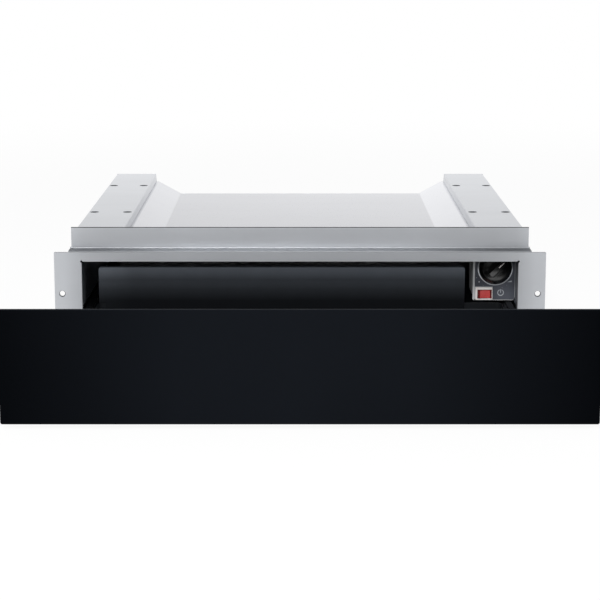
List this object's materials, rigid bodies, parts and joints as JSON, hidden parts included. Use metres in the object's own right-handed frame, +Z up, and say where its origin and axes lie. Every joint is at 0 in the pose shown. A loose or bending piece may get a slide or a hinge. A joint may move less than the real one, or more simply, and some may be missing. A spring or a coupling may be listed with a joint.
{
  "type": "built-in warming drawer",
  "caption": "Built-in warming drawer: black glass front on a low tray, telescopic slides, folded-sheet housing with fan heater, thermostat knob and rocker switch.",
  "frame": {"origin": "middle of the housing's underside: halfway across it, and halfway between the front of its screw ears and its back", "axes": "+X to the user's right, +Y from the glass front to the back, +Z up; the drawer is drawn out at rest"},
  "size_m": [0.595, 0.9383, 0.134],
  "materials": {
    "galvanised_sheet": "zinc-coated steel sheet, fine brushed grain, satin",
    "bright_sheet": "pale zinc-coated steel sheet, satin",
    "black_sheet": "black enamel on steel sheet, satin",
    "tray_coat": "anthracite coating on steel sheet, satin",
    "black_glass": "opaque black glass, polished",
    "mat_rubber": "dark non-slip rubber, matt",
    "pale_case": "light grey moulded plastic, fine texture",
    "label_film": "blue-grey printed film, matt",
    "black_plastic": "black moulded plastic, satin",
    "red_plastic": "red moulded plastic, glossy",
    "ceramic": "pale heat-proof moulding, matt",
    "zinc_plated": "zinc-plated steel, satin",
    "fan_alloy": "pressed aluminium, satin",
    "motor_steel": "stacked motor steel, lacquered",
    "element_sheath": "heat-tinted steel tube, matt",
    "glass_wool": "pressed glass wool, fibrous"
  },
  "bodies": {
    "housing": {"base_pan": "galvanised_sheet", "left_side_panel": "galvanised_sheet", "right_side_panel": "galvanised_sheet", "front_frame": "galvanised_sheet", "rear_panel": "galvanised_sheet", "rear_partition": "galvanised_sheet", "top_panel": "bright_sheet", "cavity_liner": "black_sheet", "control_box": "pale_case", "dial_ring": "pale_case", "power_switch": "pale_case", "control_label": "label_film", "latch_body": "black_plastic", "cable_gland": "black_plastic", "safety_cutout": "black_plastic", "wiring_loom": "black_plastic", "terminal_block": "ceramic", "left_slide_bracket": "zinc_plated", "right_slide_bracket": "zinc_plated", "left_slide_outer": "zinc_plated", "right_slide_outer": "zinc_plated", "fan_scroll": "zinc_plated", "fan_bearing": "zinc_plated", "element_clip": "zinc_plated", "thermostat": "zinc_plated", "capillary_sensor": "zinc_plated", "fan_motor": "motor_steel", "heating_element": "element_sheath", "base_insulation": "glass_wool"},
    "drawer": {"front_glass": "black_glass", "front_carrier": "black_sheet", "left_front_gusset": "zinc_plated", "right_front_gusset": "zinc_plated", "tray_pan": "tray_coat", "tray_back_panel": "tray_coat", "tray_mat": "mat_rubber", "left_slide_inner": "zinc_plated", "right_slide_inner": "zinc_plated", "latch_striker": "zinc_plated"},
    "slide_mid_left": {"left_slide_middle": "zinc_plated"},
    "slide_mid_right": {"right_slide_middle": "zinc_plated"},
    "knob": {"thermostat_knob": "black_plastic"},
    "rocker": {"power_rocker": "red_plastic"},
    "fan_wheel": {"fan_impeller": "fan_alloy"},
    "latch_pin": {"latch_plunger": "black_plastic"}
  },
  "joints": [
    {"name": "drawer_slide", "type": "slide", "parent": "housing", "child": "drawer", "axis": [0, -1, 0], "range_m": [-0.392, 0]},
    {"name": "left_middle_slide", "type": "slide", "parent": "housing", "child": "slide_mid_left", "axis": [0, -1, 0], "range_m": [-0.197, 0.001]},
    {"name": "right_middle_slide", "type": "slide", "parent": "housing", "child": "slide_mid_right", "axis": [0, -1, 0], "range_m": [-0.197, 0.001]},
    {"name": "knob_turn", "type": "hinge", "parent": "housing", "child": "knob", "pos_m": [0.2412, -0.2042, 0.0772], "axis": [0, 1, 0], "range_deg": [-180, 90]},
    {"name": "rocker_tip", "type": "hinge", "parent": "housing", "child": "rocker", "pos_m": [0.2277, -0.2039, 0.0451], "axis": [0, 0, 1], "range_deg": [-14, 0]},
    {"name": "fan_spin", "type": "hinge", "parent": "housing", "child": "fan_wheel", "pos_m": [0, 0.2215, 0.0281], "axis": [1, 0, 0], "continuous": true},
    {"name": "latch_push", "type": "slide", "parent": "housing", "child": "latch_pin", "axis": [0, 1, 0], "range_m": [0, 0.009], "stiffness_N_per_m": 400}
  ],
  "couplings": [
    {"joint": "left_middle_slide", "follows": "drawer_slide", "ratio": 0.5},
    {"joint": "right_middle_slide", "follows": "drawer_slide", "ratio": 0.5}
  ]
}
